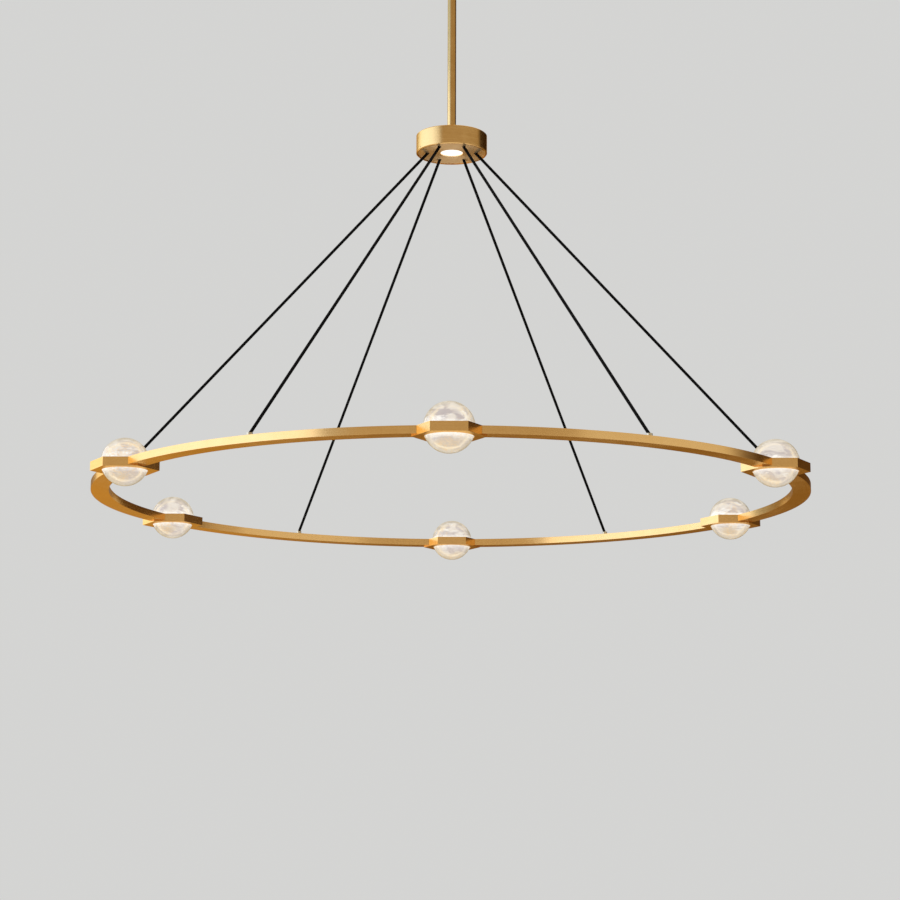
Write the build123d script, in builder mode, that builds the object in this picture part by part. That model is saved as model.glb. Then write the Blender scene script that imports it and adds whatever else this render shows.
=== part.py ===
from build123d import *
import math
import os

# Ring chandelier with six glass orbs, hung by six cables from a drum on a rod.
# Millimetres, +Z up. The origin is the centre of the crossbar's top face, in the
# plane of the ceiling, so the whole fitting hangs towards -Z.

# ---- ring of bars and collars ----
RING_OUTER_DIAMETER = 1524.0
BAR_WIDTH = 38.0
BAR_HEIGHT = 15.0
BAR_WALL = 2.0
ORB_COUNT = 6
FIRST_ORB_ANGLE = 30.0

# ---- orb and the collar that holds it ----
ORB_DIAMETER = 96.0
COLLAR_HEIGHT = 18.0
ORB_SINK = 0.5             # orb's widest level below the collar's top face
COLLAR_WALL = 9.0          # at the middle of a flat, outside the light ring's bore
LIGHT_RING_THICKNESS = 2.2
LIGHT_RING_HEIGHT = 6.0
RETAINING_RING_HEIGHT = 4.5
GASKET_HEIGHT = 5.0
GASKET_THICKNESS = 2.6     # at its top, thickest at its foot
ORB_CLEARANCE = 0.3
RING_FIT = 0.15            # round pieces dropped into the collar
TENON_REACH = 22.0         # past the collar's corner, inside the bar
TENON_FIT = 0.2
CORNER_FIT = 0.1           # bar end against the collar's corner
WIRE_WAY_DIAMETER = 6.0    # through both tenons, into the bore behind the light ring
WIRE_WAY_OFFSET = 7.0      # outwards from the bars' middle

# ---- screws that lock the bars on the tenons ----
BAR_SCREW_DIAMETER = 4.0
BAR_SCREW_LENGTH = 6.0
BAR_SCREW_SETBACK = 11.0   # from the tenon's tip
BAR_SCREW_OFFSET = 7.0     # inwards from the bars' middle, clear of the wire way
SUPPLY_TAPE_WIDTH = 6.0
SUPPLY_TAPE_THICKNESS = 1.2

# ---- hub drum ----
HUB_DIAMETER = 156.0
HUB_HEIGHT = 42.0
HUB_WALL = 3.0
HUB_TOP_THICKNESS = 4.0
HUB_CHAMFER = 1.6
HUB_ABOVE_RING = 762.0     # underside of the drum above the bars' mid height
HUB_PLATE_THICKNESS = 5.0
HUB_PLATE_RECESS = 2.0
HUB_PLATE_FIT = 0.3
HUB_SCREW_COUNT = 3
HUB_SCREW_ANGLE = 90.0
HUB_SCREW_DIAMETER = 3.0
HUB_SCREW_LENGTH = 6.0

# ---- downlight in the hub plate ----
DOWNLIGHT_CLEARANCE = 0.9  # from its flange to the innermost point of the cable stops
DOWNLIGHT_FLANGE_WIDTH = 7.5
DOWNLIGHT_FIT = 0.2
DOWNLIGHT_FLANGE_THICKNESS = 2.0
DIFFUSER_RECESS = 2.0      # lit face above the plate's underside
LED_BOARD_THICKNESS = 1.6
HEATSINK_BASE = 3.0
HEATSINK_FIN_HEIGHT = 8.0
HEATSINK_FIN_THICKNESS = 1.6
HEATSINK_FIN_COUNT = 12
HEATSINK_FIN_SETBACK = 3.0 # from the screws' axes to the fins' tips
HEATSINK_CORE_DIAMETER = 30.0
DOWNLIGHT_SCREW_COUNT = 3
DOWNLIGHT_SCREW_DIAMETER = 3.0
DOWNLIGHT_SCREW_BITE = 3.0
DOWNLIGHT_SCREW_HEAD_DIAMETER = 5.4
DOWNLIGHT_SCREW_HEAD_HEIGHT = 1.5
TERMINAL_LENGTH = 24.0
TERMINAL_WIDTH = 14.0
TERMINAL_HEIGHT = 9.0
TERMINAL_POLE_PITCH = 6.0
TERMINAL_POLE_DIAMETER = 3.2
TERMINAL_POLE_DEPTH = 2.5
TERMINAL_POLE_ROWS = 2
TERMINAL_POLE_COLUMNS = 3

# ---- cables ----
CABLE_DIAMETER = 6.4
CABLE_EXIT_INSET = 25.0    # from the drum's outside to the cable at the plate's underside
CABLE_FIT = 0.2
CABLE_SEAT_REACH = 16.0    # seat of the cable's stop, along the cable from the plate's underside
CABLE_SEAT_DEPTH = 0.6     # cut into the conical land round the plate
CABLE_SEAT_FIT = 0.3
CABLE_LAND_WIDTH = 14.0
CABLE_STOP_DIAMETER = 10.5
CABLE_STOP_LENGTH = 8.0
ANCHOR_CAP_DIAMETER = 11.5
ANCHOR_CAP_HEIGHT = 7.5
ANCHOR_SEAT_HEIGHT = 5.3   # cable's end above the bar
ANCHOR_STUD_DIAMETER = 6.0
ANCHOR_STUD_LENGTH = 8.0
ANCHOR_NUT_ACROSS_FLATS = 10.0
ANCHOR_NUT_HEIGHT = 4.0

# ---- clearances shared by screws, nuts and threads ----
SCREW_FIT = 0.1
THREAD_FIT = 0.1

# ---- rods ----
ROD_DIAMETER = 19.0
ROD_WALL = 1.5
UPPER_ROD_LENGTH = 152.0
LOWER_ROD_LENGTH = 457.0
ROD_FIT = 0.1
COUPLER_LENGTH = 40.0
STEM_BORE_DIAMETER = 9.0   # wire way through the coupler and the hub nipple
SPIGOT_LENGTH = 18.0
HUB_NIPPLE_DROP = 7.0      # below the underside of the drum's top
HUB_NIPPLE_RISE = 20.0
HUB_NUT_ACROSS_FLATS = 24.0
HUB_NUT_HEIGHT = 5.0
STEM_LEAD_DIAMETER = 5.0

# ---- ceiling canopy ----
CANOPY_DIAMETER = 156.0
CANOPY_HEIGHT = 38.0
CANOPY_WALL = 1.5
CANOPY_CHAMFER = 0.8
CANOPY_NUT_DIAMETER = 26.0
CANOPY_NUT_HEIGHT = 8.0
CANOPY_NUT_GROOVE = 1.0
CROSSBAR_LENGTH = 114.0
CROSSBAR_WIDTH = 25.0
CROSSBAR_THICKNESS = 2.5
CROSSBAR_CORNER_RADIUS = 6.0
SLOT_SPACING = 80.0
SLOT_LENGTH = 24.0
SLOT_WIDTH = 5.0
NIPPLE_DIAMETER = 10.0
NIPPLE_BORE_DIAMETER = 7.0
NIPPLE_NUT_ACROSS_FLATS = 14.0
NIPPLE_NUT_HEIGHT = 4.0
GROUND_SCREW_DIAMETER = 4.0
GROUND_SCREW_HEAD_DIAMETER = 8.0
GROUND_SCREW_HEAD_HEIGHT = 2.6
GROUND_SCREW_HEAD_CHAMFER = 0.6
GROUND_SCREW_OFFSET = 17.0
DRIVER_LENGTH = 108.0
DRIVER_WIDTH = 32.0
DRIVER_HEIGHT = 21.0
DRIVER_CORNER_RADIUS = 3.0
DRIVER_TOP_CHAMFER = 1.5
DRIVER_ENTRY_WIDTH = 16.0  # wire entry in each end wall
DRIVER_ENTRY_HEIGHT = 5.0
DRIVER_ENTRY_DEPTH = 3.0
DRIVER_OFFSET = 30.0       # middle of the driver from the nipple's axis
DRIVER_PAD_THICKNESS = 1.5
DRIVER_PAD_MARGIN = 4.0

# ---- knuckle between the canopy and the rod ----
TURN_GAP = 0.3             # between flat faces that turn past each other
TURN_FIT = 0.08            # radial, where a bore turns on a shaft
YOKE_DIAMETER = 30.0
YOKE_TOP_THICKNESS = 6.0
YOKE_END_RADIUS = 12.0
YOKE_POCKET_CLEARANCE = 0.6
TONGUE_THICKNESS = 13.0
TONGUE_HEAD_RADIUS = 9.0
TONGUE_BORE_DIAMETER = 6.0
TONGUE_COLLAR_HEIGHT = 6.0
PIVOT_DIAMETER = 6.0
PIVOT_HEAD_DIAMETER = 9.0
PIVOT_HEAD_HEIGHT = 2.5
PIVOT_REACH = 3.0          # into the tongue
HEX_SLOT_DEPTH = 1.5
HEX_KEY_RATIO = 0.5        # key socket's width as a share of its screw's diameter
HEX_SIDES = 6

# ---- levels, from the ceiling down ----
canopy_floor_z = -CANOPY_HEIGHT
canopy_nut_z = canopy_floor_z - CANOPY_NUT_HEIGHT
yoke_top_z = canopy_nut_z - TURN_GAP
yoke_wall_z = yoke_top_z - YOKE_TOP_THICKNESS
yoke_nut_z = yoke_wall_z - TURN_GAP - NIPPLE_NUT_HEIGHT
nipple_end_z = yoke_nut_z - TURN_GAP
pivot_z = nipple_end_z - TURN_GAP - TONGUE_HEAD_RADIUS
tongue_collar_z = pivot_z - YOKE_END_RADIUS - TURN_GAP
upper_rod_z = tongue_collar_z - TONGUE_COLLAR_HEIGHT
rod_joint_z = upper_rod_z - UPPER_ROD_LENGTH
hub_top_z = rod_joint_z - LOWER_ROD_LENGTH
hub_bottom_z = hub_top_z - HUB_HEIGHT
hub_plate_z = hub_bottom_z + HUB_PLATE_RECESS
ring_z = hub_bottom_z - HUB_ABOVE_RING
bar_top_z = ring_z + BAR_HEIGHT / 2
bar_bottom_z = ring_z - BAR_HEIGHT / 2
collar_top_z = bar_top_z
collar_bottom_z = collar_top_z - COLLAR_HEIGHT
orb_z = collar_top_z - ORB_SINK

# ---- radii and angles that several pieces share ----
orb_radius = ORB_DIAMETER / 2
ring_radius = RING_OUTER_DIAMETER / 2
bar_radius = ring_radius - BAR_WIDTH / 2
light_ring_inner = orb_radius + ORB_CLEARANCE
light_ring_outer = light_ring_inner + LIGHT_RING_THICKNESS
collar_bore = light_ring_outer + RING_FIT
collar_flat = collar_bore + COLLAR_WALL
hex_half_side = 180 / HEX_SIDES                 # degrees
hex_reach = 1 / math.cos(math.radians(hex_half_side))    # corner over flat
collar_corner = collar_flat * hex_reach
tenon_angle = math.degrees((collar_corner + TENON_REACH) / bar_radius)
bar_screw_angle = tenon_angle - math.degrees(BAR_SCREW_SETBACK / bar_radius)
orb_step = 360 / ORB_COUNT
first_cable_angle = FIRST_ORB_ANGLE + orb_step / 2      # cables halfway between orbs
rod_radius = ROD_DIAMETER / 2
rod_bore = rod_radius - ROD_WALL
nipple_radius = NIPPLE_DIAMETER / 2
hub_plate_radius = HUB_DIAMETER / 2 - HUB_WALL - HUB_PLATE_FIT
cable_radius = CABLE_DIAMETER / 2
cable_exit_radius = HUB_DIAMETER / 2 - CABLE_EXIT_INSET
cable_drop = hub_plate_z - bar_top_z - ANCHOR_SEAT_HEIGHT
cable_spread = bar_radius - cable_exit_radius
cable_run = math.hypot(cable_drop, cable_spread)
cable_start = -(CABLE_SEAT_REACH + CABLE_STOP_LENGTH)
stop_inner_radius = (
    cable_exit_radius + (cable_start * cable_spread - CABLE_STOP_DIAMETER / 2 * cable_drop) / cable_run
)
flange_radius = stop_inner_radius - DOWNLIGHT_CLEARANCE
downlight_radius = flange_radius - DOWNLIGHT_FLANGE_WIDTH
downlight_screw_radius = flange_radius - DOWNLIGHT_FLANGE_WIDTH / 2

parts_folder = "parts"
os.makedirs(parts_folder, exist_ok=True)


def save(builder, label):
    """Label the finished piece and write its STEP file."""
    builder.part.label = label
    export_step(builder.part, f"{parts_folder}/{label}.step")


def around(radius, angle, z):
    return Vector(radius * math.cos(math.radians(angle)), radius * math.sin(math.radians(angle)), z)


def turned(master, angle):
    """Copy of a piece made at azimuth 0, turned about the ring's axis."""
    with BuildPart() as piece:
        add(master.part, rotation=(0, 0, angle))
    return piece


def all_round(master, first_angle):
    """One copy of a piece at every orb or cable, kept as separate solids."""
    with BuildPart() as pieces:
        with PolarLocations(0, ORB_COUNT, first_angle):
            add(master.part)
    return pieces


def save_each(master, first_angle, label):
    for index in range(ORB_COUNT):
        save(turned(master, first_angle + orb_step * index), f"{label}_{index + 1}")


def level_plane(z, angle=0, radius=bar_radius):
    """Level plane on the bars' middle line, its X pointing away from the ring's centre."""
    return Plane(origin=around(radius, angle, z), x_dir=around(1, angle, 0), z_dir=(0, 0, 1))


def bar_screw_plane(angle):
    return level_plane(bar_bottom_z, angle, bar_radius - BAR_SCREW_OFFSET)


def bar_section_plane(angle):
    """Upright plane through the ring's axis: X outwards, Y up, at the bars' mid height."""
    return Plane(origin=(0, 0, ring_z), x_dir=around(1, angle, 0), z_dir=around(1, angle - 90, 0))


def cable_plane(distance, angle=0):
    """Plane square to a cable, its Z towards the ring, at a distance from the hub plate's underside."""
    run = around(cable_spread, angle, -cable_drop)
    start = around(cable_exit_radius, angle, hub_plate_z)
    return Plane(origin=start + run * (distance / cable_run), x_dir=around(1, angle + 90, 0), z_dir=run)


# ==== ceiling end ====

with BuildPart() as crossbar:
    with BuildSketch(Plane.XY.offset(-CROSSBAR_THICKNESS)):
        RectangleRounded(CROSSBAR_LENGTH, CROSSBAR_WIDTH, CROSSBAR_CORNER_RADIUS)
        Circle(nipple_radius + THREAD_FIT, mode=Mode.SUBTRACT)
        with Locations((-SLOT_SPACING / 2, 0), (SLOT_SPACING / 2, 0)):
            SlotOverall(SLOT_LENGTH, SLOT_WIDTH, mode=Mode.SUBTRACT)
        with Locations((GROUND_SCREW_OFFSET, 0)):
            Circle(GROUND_SCREW_DIAMETER / 2 + SCREW_FIT, mode=Mode.SUBTRACT)
    extrude(amount=CROSSBAR_THICKNESS)
save(crossbar, "crossbar")

with BuildPart() as ground_screw:
    with BuildSketch(Plane.XY.offset(-CROSSBAR_THICKNESS)):
        with Locations((GROUND_SCREW_OFFSET, 0)):
            Circle(GROUND_SCREW_HEAD_DIAMETER / 2)
    extrude(amount=-GROUND_SCREW_HEAD_HEIGHT)
    chamfer(ground_screw.faces().sort_by(Axis.Z)[0].edges(), GROUND_SCREW_HEAD_CHAMFER)
    with BuildSketch(Plane.XY.offset(-CROSSBAR_THICKNESS)):
        with Locations((GROUND_SCREW_OFFSET, 0)):
            Circle(GROUND_SCREW_DIAMETER / 2)
    extrude(amount=CROSSBAR_THICKNESS - SCREW_FIT)
save(ground_screw, "ground_screw")

with BuildPart() as ceiling_nipple:
    with BuildSketch(Plane.XY.offset(nipple_end_z)):
        Circle(nipple_radius)
        Circle(NIPPLE_BORE_DIAMETER / 2, mode=Mode.SUBTRACT)
    extrude(amount=-nipple_end_z - SCREW_FIT)
save(ceiling_nipple, "ceiling_nipple")

with BuildPart() as nipple_nuts:
    for nut_z in (-CROSSBAR_THICKNESS - NIPPLE_NUT_HEIGHT, canopy_floor_z + CANOPY_WALL, yoke_nut_z):
        with BuildSketch(Plane.XY.offset(nut_z)):
            RegularPolygon(NIPPLE_NUT_ACROSS_FLATS / 2, HEX_SIDES, major_radius=False)
            Circle(nipple_radius + THREAD_FIT, mode=Mode.SUBTRACT)
        extrude(amount=NIPPLE_NUT_HEIGHT)
save(nipple_nuts, "nipple_nuts")

with BuildPart() as canopy:
    with BuildSketch(Plane.XY.offset(canopy_floor_z)):
        Circle(CANOPY_DIAMETER / 2)
    extrude(amount=CANOPY_HEIGHT)
    chamfer(canopy.faces().sort_by(Axis.Z)[0].edges(), CANOPY_CHAMFER)
    with BuildSketch(Plane.XY.offset(canopy_floor_z + CANOPY_WALL)):
        Circle(CANOPY_DIAMETER / 2 - CANOPY_WALL)
    extrude(amount=CANOPY_HEIGHT, mode=Mode.SUBTRACT)
    with Locations((0, 0, canopy_floor_z)):
        Hole(nipple_radius + THREAD_FIT, CANOPY_HEIGHT)
save(canopy, "canopy")

with BuildPart() as canopy_nut:
    with BuildSketch(Plane.XY.offset(canopy_nut_z)):
        Circle(CANOPY_NUT_DIAMETER / 2)
        Circle(nipple_radius + THREAD_FIT, mode=Mode.SUBTRACT)
    extrude(amount=CANOPY_NUT_HEIGHT)
    outer_rims = canopy_nut.edges().filter_by(GeomType.CIRCLE).group_by(SortBy.RADIUS)[-1]
    chamfer(outer_rims, CANOPY_CHAMFER)
    with BuildSketch(Plane.XY.offset(canopy_nut_z + (CANOPY_NUT_HEIGHT - CANOPY_NUT_GROOVE) / 2)):
        Circle(CANOPY_NUT_DIAMETER / 2)
        Circle(CANOPY_NUT_DIAMETER / 2 - CANOPY_NUT_GROOVE, mode=Mode.SUBTRACT)
    extrude(amount=CANOPY_NUT_GROOVE, mode=Mode.SUBTRACT)
save(canopy_nut, "canopy_nut")

driver_pad_z = canopy_floor_z + CANOPY_WALL
with BuildPart() as driver_pad:
    with BuildSketch(Plane.XY.offset(driver_pad_z)):
        with Locations((0, DRIVER_OFFSET)):
            Rectangle(DRIVER_LENGTH - 2 * DRIVER_PAD_MARGIN, DRIVER_WIDTH - 2 * DRIVER_PAD_MARGIN)
    extrude(amount=DRIVER_PAD_THICKNESS)
save(driver_pad, "driver_pad")

with BuildPart() as led_driver:
    with BuildSketch(Plane.XY.offset(driver_pad_z + DRIVER_PAD_THICKNESS)):
        with Locations((0, DRIVER_OFFSET)):
            RectangleRounded(DRIVER_LENGTH, DRIVER_WIDTH, DRIVER_CORNER_RADIUS)
    extrude(amount=DRIVER_HEIGHT)
    chamfer(led_driver.faces().sort_by(Axis.Z)[-1].edges(), DRIVER_TOP_CHAMFER)
    # wire entries in both end walls
    with BuildSketch(Plane.XY.offset(driver_pad_z + DRIVER_PAD_THICKNESS + DRIVER_HEIGHT / 2)):
        with Locations((-DRIVER_LENGTH / 2, DRIVER_OFFSET), (DRIVER_LENGTH / 2, DRIVER_OFFSET)):
            Rectangle(2 * DRIVER_ENTRY_DEPTH, DRIVER_ENTRY_WIDTH)
    extrude(amount=DRIVER_ENTRY_HEIGHT, mode=Mode.SUBTRACT)
save(led_driver, "led_driver")


# ==== knuckle: turns on the nipple, tilts on two pivot screws ====

with BuildPart() as swivel_yoke:
    with BuildSketch(Plane.YZ.offset(-YOKE_DIAMETER / 2)):
        with Locations((0, (yoke_top_z + pivot_z) / 2)):
            Rectangle(2 * YOKE_END_RADIUS, yoke_top_z - pivot_z)
        with Locations((0, pivot_z)):
            Circle(YOKE_END_RADIUS)
    extrude(amount=YOKE_DIAMETER)
    with BuildSketch(Plane.XY.offset(pivot_z - YOKE_END_RADIUS)):
        Circle(YOKE_DIAMETER / 2)
    extrude(amount=yoke_top_z - pivot_z + YOKE_END_RADIUS, mode=Mode.INTERSECT)
    chamfer(swivel_yoke.faces().sort_by(Axis.Z)[-1].edges(), CANOPY_CHAMFER)
    # slot between the cheeks
    with BuildSketch(Plane.XY.offset(yoke_wall_z)):
        Rectangle(TONGUE_THICKNESS + 2 * TURN_GAP, 2 * YOKE_DIAMETER)
    extrude(amount=-YOKE_DIAMETER, mode=Mode.SUBTRACT)
    # pocket that lets the nut turn under the top wall
    with BuildSketch(Plane.XY.offset(yoke_wall_z)):
        Circle(NIPPLE_NUT_ACROSS_FLATS / 2 * hex_reach + YOKE_POCKET_CLEARANCE)
    extrude(amount=nipple_end_z - yoke_wall_z, mode=Mode.SUBTRACT)
    with Locations((0, 0, yoke_top_z)):
        Hole(nipple_radius + TURN_FIT, YOKE_TOP_THICKNESS)
    for side in (-1, 1):
        cheek_face = Plane(origin=(side * YOKE_DIAMETER / 2, 0, pivot_z), z_dir=(side, 0, 0))
        with Locations(cheek_face.location):
            CounterBoreHole(
                PIVOT_DIAMETER / 2 + SCREW_FIT,
                PIVOT_HEAD_DIAMETER / 2 + SCREW_FIT,
                PIVOT_HEAD_HEIGHT + SCREW_FIT,
                YOKE_DIAMETER / 2,
            )
save(swivel_yoke, "swivel_yoke")

with BuildPart() as pivot_screws:
    for side in (-1, 1):
        head_face = Plane(origin=(side * YOKE_DIAMETER / 2, 0, pivot_z), z_dir=(side, 0, 0))
        with BuildSketch(head_face):
            Circle(PIVOT_HEAD_DIAMETER / 2)
            RegularPolygon(PIVOT_HEAD_DIAMETER / 2 * HEX_KEY_RATIO, HEX_SIDES, mode=Mode.SUBTRACT)
        extrude(amount=-HEX_SLOT_DEPTH)
        with BuildSketch(head_face.offset(-HEX_SLOT_DEPTH)):
            Circle(PIVOT_HEAD_DIAMETER / 2)
        extrude(amount=HEX_SLOT_DEPTH - PIVOT_HEAD_HEIGHT)
        with BuildSketch(head_face.offset(-PIVOT_HEAD_HEIGHT)):
            Circle(PIVOT_DIAMETER / 2)
        extrude(amount=TONGUE_THICKNESS / 2 - PIVOT_REACH - YOKE_DIAMETER / 2 + PIVOT_HEAD_HEIGHT)
save(pivot_screws, "pivot_screws")

with BuildPart() as swivel_tongue:
    with BuildSketch(Plane.YZ.offset(-TONGUE_THICKNESS / 2)):
        with Locations((0, (pivot_z + tongue_collar_z) / 2)):
            Rectangle(2 * TONGUE_HEAD_RADIUS, pivot_z - tongue_collar_z)
        with Locations((0, pivot_z)):
            Circle(TONGUE_HEAD_RADIUS)
    extrude(amount=TONGUE_THICKNESS)
    with BuildSketch(Plane.XY.offset(tongue_collar_z)):
        Circle(rod_radius)
    extrude(amount=-TONGUE_COLLAR_HEIGHT)
    with BuildSketch(Plane.XY.offset(upper_rod_z)):
        Circle(rod_bore - ROD_FIT)
    extrude(amount=-SPIGOT_LENGTH)
    with Locations((0, 0, pivot_z + TONGUE_HEAD_RADIUS)):
        Hole(TONGUE_BORE_DIAMETER / 2)
    with Locations(Plane(origin=(TONGUE_THICKNESS / 2, 0, pivot_z), z_dir=(1, 0, 0)).location):
        Hole(PIVOT_DIAMETER / 2 + TURN_FIT)
save(swivel_tongue, "swivel_tongue")


# ==== rods ====


def tube(top_z, length, outer, inner):
    with BuildPart() as piece:
        with BuildSketch(Plane.XY.offset(top_z)):
            Circle(outer)
            Circle(inner, mode=Mode.SUBTRACT)
        extrude(amount=-length)
    return piece


save(tube(upper_rod_z, UPPER_ROD_LENGTH, rod_radius, rod_bore), "upper_rod")
save(tube(rod_joint_z, LOWER_ROD_LENGTH, rod_radius, rod_bore), "lower_rod")
save(
    tube(rod_joint_z + COUPLER_LENGTH / 2, COUPLER_LENGTH, rod_bore - ROD_FIT, STEM_BORE_DIAMETER / 2),
    "rod_coupler",
)


# ==== hub drum, its plate and the downlight ====

hub_roof_z = hub_top_z - HUB_TOP_THICKNESS
hub_nipple_radius = rod_bore - ROD_FIT
save(
    tube(
        hub_top_z + HUB_NIPPLE_RISE,
        HUB_NIPPLE_RISE + HUB_TOP_THICKNESS + HUB_NIPPLE_DROP,
        hub_nipple_radius,
        STEM_BORE_DIAMETER / 2,
    ),
    "hub_nipple",
)

with BuildPart() as hub_nut:
    with BuildSketch(Plane.XY.offset(hub_roof_z)):
        RegularPolygon(HUB_NUT_ACROSS_FLATS / 2, HEX_SIDES, major_radius=False)
        Circle(hub_nipple_radius + THREAD_FIT, mode=Mode.SUBTRACT)
    extrude(amount=-HUB_NUT_HEIGHT)
save(hub_nut, "hub_nut")


def hub_screw_plane(index):
    """On the drum's outside at the plate's mid thickness, its Z pointing outwards."""
    angle = HUB_SCREW_ANGLE + index * 360 / HUB_SCREW_COUNT
    middle = around(HUB_DIAMETER / 2, angle, hub_plate_z + HUB_PLATE_THICKNESS / 2)
    return Plane(origin=middle, z_dir=around(1, angle, 0))


with BuildPart() as hub_housing:
    with BuildSketch(Plane.XY.offset(hub_bottom_z)):
        Circle(HUB_DIAMETER / 2)
    extrude(amount=HUB_HEIGHT)
    chamfer(hub_housing.edges().filter_by(GeomType.CIRCLE), HUB_CHAMFER)
    with BuildSketch(Plane.XY.offset(hub_bottom_z)):
        Circle(HUB_DIAMETER / 2 - HUB_WALL)
    extrude(amount=HUB_HEIGHT - HUB_TOP_THICKNESS, mode=Mode.SUBTRACT)
    with Locations((0, 0, hub_top_z)):
        Hole(hub_nipple_radius + THREAD_FIT, HUB_TOP_THICKNESS)
    for index in range(HUB_SCREW_COUNT):
        with Locations(hub_screw_plane(index).location):
            Hole(HUB_SCREW_DIAMETER / 2 + SCREW_FIT, 2 * HUB_WALL)
save(hub_housing, "hub_housing")

with BuildPart() as hub_screws:
    for index in range(HUB_SCREW_COUNT):
        with BuildSketch(hub_screw_plane(index).offset(-SCREW_FIT)):
            Circle(HUB_SCREW_DIAMETER / 2)
        extrude(amount=-HUB_SCREW_LENGTH)
        with BuildSketch(hub_screw_plane(index).offset(-SCREW_FIT)):
            RegularPolygon(HUB_SCREW_DIAMETER / 2 * HEX_KEY_RATIO, HEX_SIDES)
        extrude(amount=-HEX_SLOT_DEPTH, mode=Mode.SUBTRACT)
save(hub_screws, "hub_screws")

with BuildPart() as hub_plate:
    with BuildSketch(Plane.XY.offset(hub_plate_z)):
        Circle(hub_plate_radius)
    extrude(amount=HUB_PLATE_THICKNESS)
    # conical land, square to the cables, in which each cable's stop has a flat seat
    land = cable_plane(-CABLE_SEAT_REACH - CABLE_SEAT_DEPTH)
    land_inner = land.from_local_coords((0, CABLE_LAND_WIDTH / 2, 0))
    land_outer = land.from_local_coords((0, -CABLE_LAND_WIDTH / 2, 0))
    with BuildSketch(Plane.XZ):
        Polygon(
            (land_inner.X, hub_plate_z + HUB_PLATE_THICKNESS),
            (land_inner.X, land_inner.Z),
            (land_outer.X, land_outer.Z),
            (land_outer.X, hub_plate_z + HUB_PLATE_THICKNESS),
            align=None,
        )
    revolve(axis=Axis.Z, revolution_arc=360)
    for index in range(ORB_COUNT):
        seat = cable_plane(-CABLE_SEAT_REACH, first_cable_angle + orb_step * index)
        with BuildSketch(seat):
            Circle(cable_radius + CABLE_FIT)
        extrude(amount=2 * CABLE_SEAT_REACH, mode=Mode.SUBTRACT)
        with BuildSketch(seat):
            Circle(CABLE_STOP_DIAMETER / 2 + CABLE_SEAT_FIT)
        extrude(amount=-CABLE_STOP_LENGTH, mode=Mode.SUBTRACT)
    with Locations((0, 0, hub_plate_z + HUB_PLATE_THICKNESS)):
        Hole(downlight_radius + DOWNLIGHT_FIT, HUB_PLATE_THICKNESS)
    with BuildSketch(Plane.XY.offset(hub_plate_z + HUB_PLATE_THICKNESS)):
        with PolarLocations(downlight_screw_radius, DOWNLIGHT_SCREW_COUNT):
            Circle(DOWNLIGHT_SCREW_DIAMETER / 2 + SCREW_FIT)
    extrude(amount=-DOWNLIGHT_SCREW_BITE - SCREW_FIT, mode=Mode.SUBTRACT)
    # dimples that the drum's side screws reach into
    for index in range(HUB_SCREW_COUNT):
        with BuildSketch(hub_screw_plane(index)):
            Circle(HUB_SCREW_DIAMETER / 2 + SCREW_FIT)
        extrude(amount=-HUB_SCREW_LENGTH - 2 * SCREW_FIT, mode=Mode.SUBTRACT)
save(hub_plate, "hub_plate")

flange_z = hub_plate_z + HUB_PLATE_THICKNESS
led_board_z = flange_z + DOWNLIGHT_FLANGE_THICKNESS
heatsink_z = led_board_z + LED_BOARD_THICKNESS
heatsink_top_z = heatsink_z + HEATSINK_BASE + HEATSINK_FIN_HEIGHT

with BuildPart() as downlight_diffuser:
    with BuildSketch(Plane.XY.offset(hub_plate_z + DIFFUSER_RECESS)):
        Circle(downlight_radius)
    extrude(amount=HUB_PLATE_THICKNESS - DIFFUSER_RECESS)
    with BuildSketch(Plane.XY.offset(flange_z)):
        Circle(flange_radius)
        with PolarLocations(downlight_screw_radius, DOWNLIGHT_SCREW_COUNT):
            Circle(DOWNLIGHT_SCREW_DIAMETER / 2 + SCREW_FIT, mode=Mode.SUBTRACT)
    extrude(amount=DOWNLIGHT_FLANGE_THICKNESS)
save(downlight_diffuser, "downlight_diffuser")

with BuildPart() as downlight_board:
    with BuildSketch(Plane.XY.offset(led_board_z)):
        Circle(flange_radius)
        with PolarLocations(downlight_screw_radius, DOWNLIGHT_SCREW_COUNT):
            Circle(DOWNLIGHT_SCREW_DIAMETER / 2 + SCREW_FIT, mode=Mode.SUBTRACT)
    extrude(amount=LED_BOARD_THICKNESS)
save(downlight_board, "downlight_board")

fin_reach = downlight_screw_radius - HEATSINK_FIN_SETBACK
with BuildPart() as downlight_heatsink:
    with BuildSketch(Plane.XY.offset(heatsink_z)):
        Circle(flange_radius)
        with PolarLocations(downlight_screw_radius, DOWNLIGHT_SCREW_COUNT):
            Circle(DOWNLIGHT_SCREW_DIAMETER / 2 + SCREW_FIT, mode=Mode.SUBTRACT)
    extrude(amount=HEATSINK_BASE)
    with BuildSketch(Plane.XY.offset(heatsink_z + HEATSINK_BASE)):
        Circle(HEATSINK_CORE_DIAMETER / 2)
        with PolarLocations(fin_reach / 2, HEATSINK_FIN_COUNT):
            Rectangle(fin_reach, HEATSINK_FIN_THICKNESS)
    extrude(amount=HEATSINK_FIN_HEIGHT)
save(downlight_heatsink, "downlight_heatsink")

with BuildPart() as downlight_screws:
    with BuildSketch(Plane.XY.offset(heatsink_z + HEATSINK_BASE)):
        with PolarLocations(downlight_screw_radius, DOWNLIGHT_SCREW_COUNT):
            Circle(DOWNLIGHT_SCREW_HEAD_DIAMETER / 2)
    extrude(amount=DOWNLIGHT_SCREW_HEAD_HEIGHT)
    with BuildSketch(Plane.XY.offset(flange_z - DOWNLIGHT_SCREW_BITE)):
        with PolarLocations(downlight_screw_radius, DOWNLIGHT_SCREW_COUNT):
            Circle(DOWNLIGHT_SCREW_DIAMETER / 2)
    extrude(amount=heatsink_z + HEATSINK_BASE - flange_z + DOWNLIGHT_SCREW_BITE)
save(downlight_screws, "downlight_screws")

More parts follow.
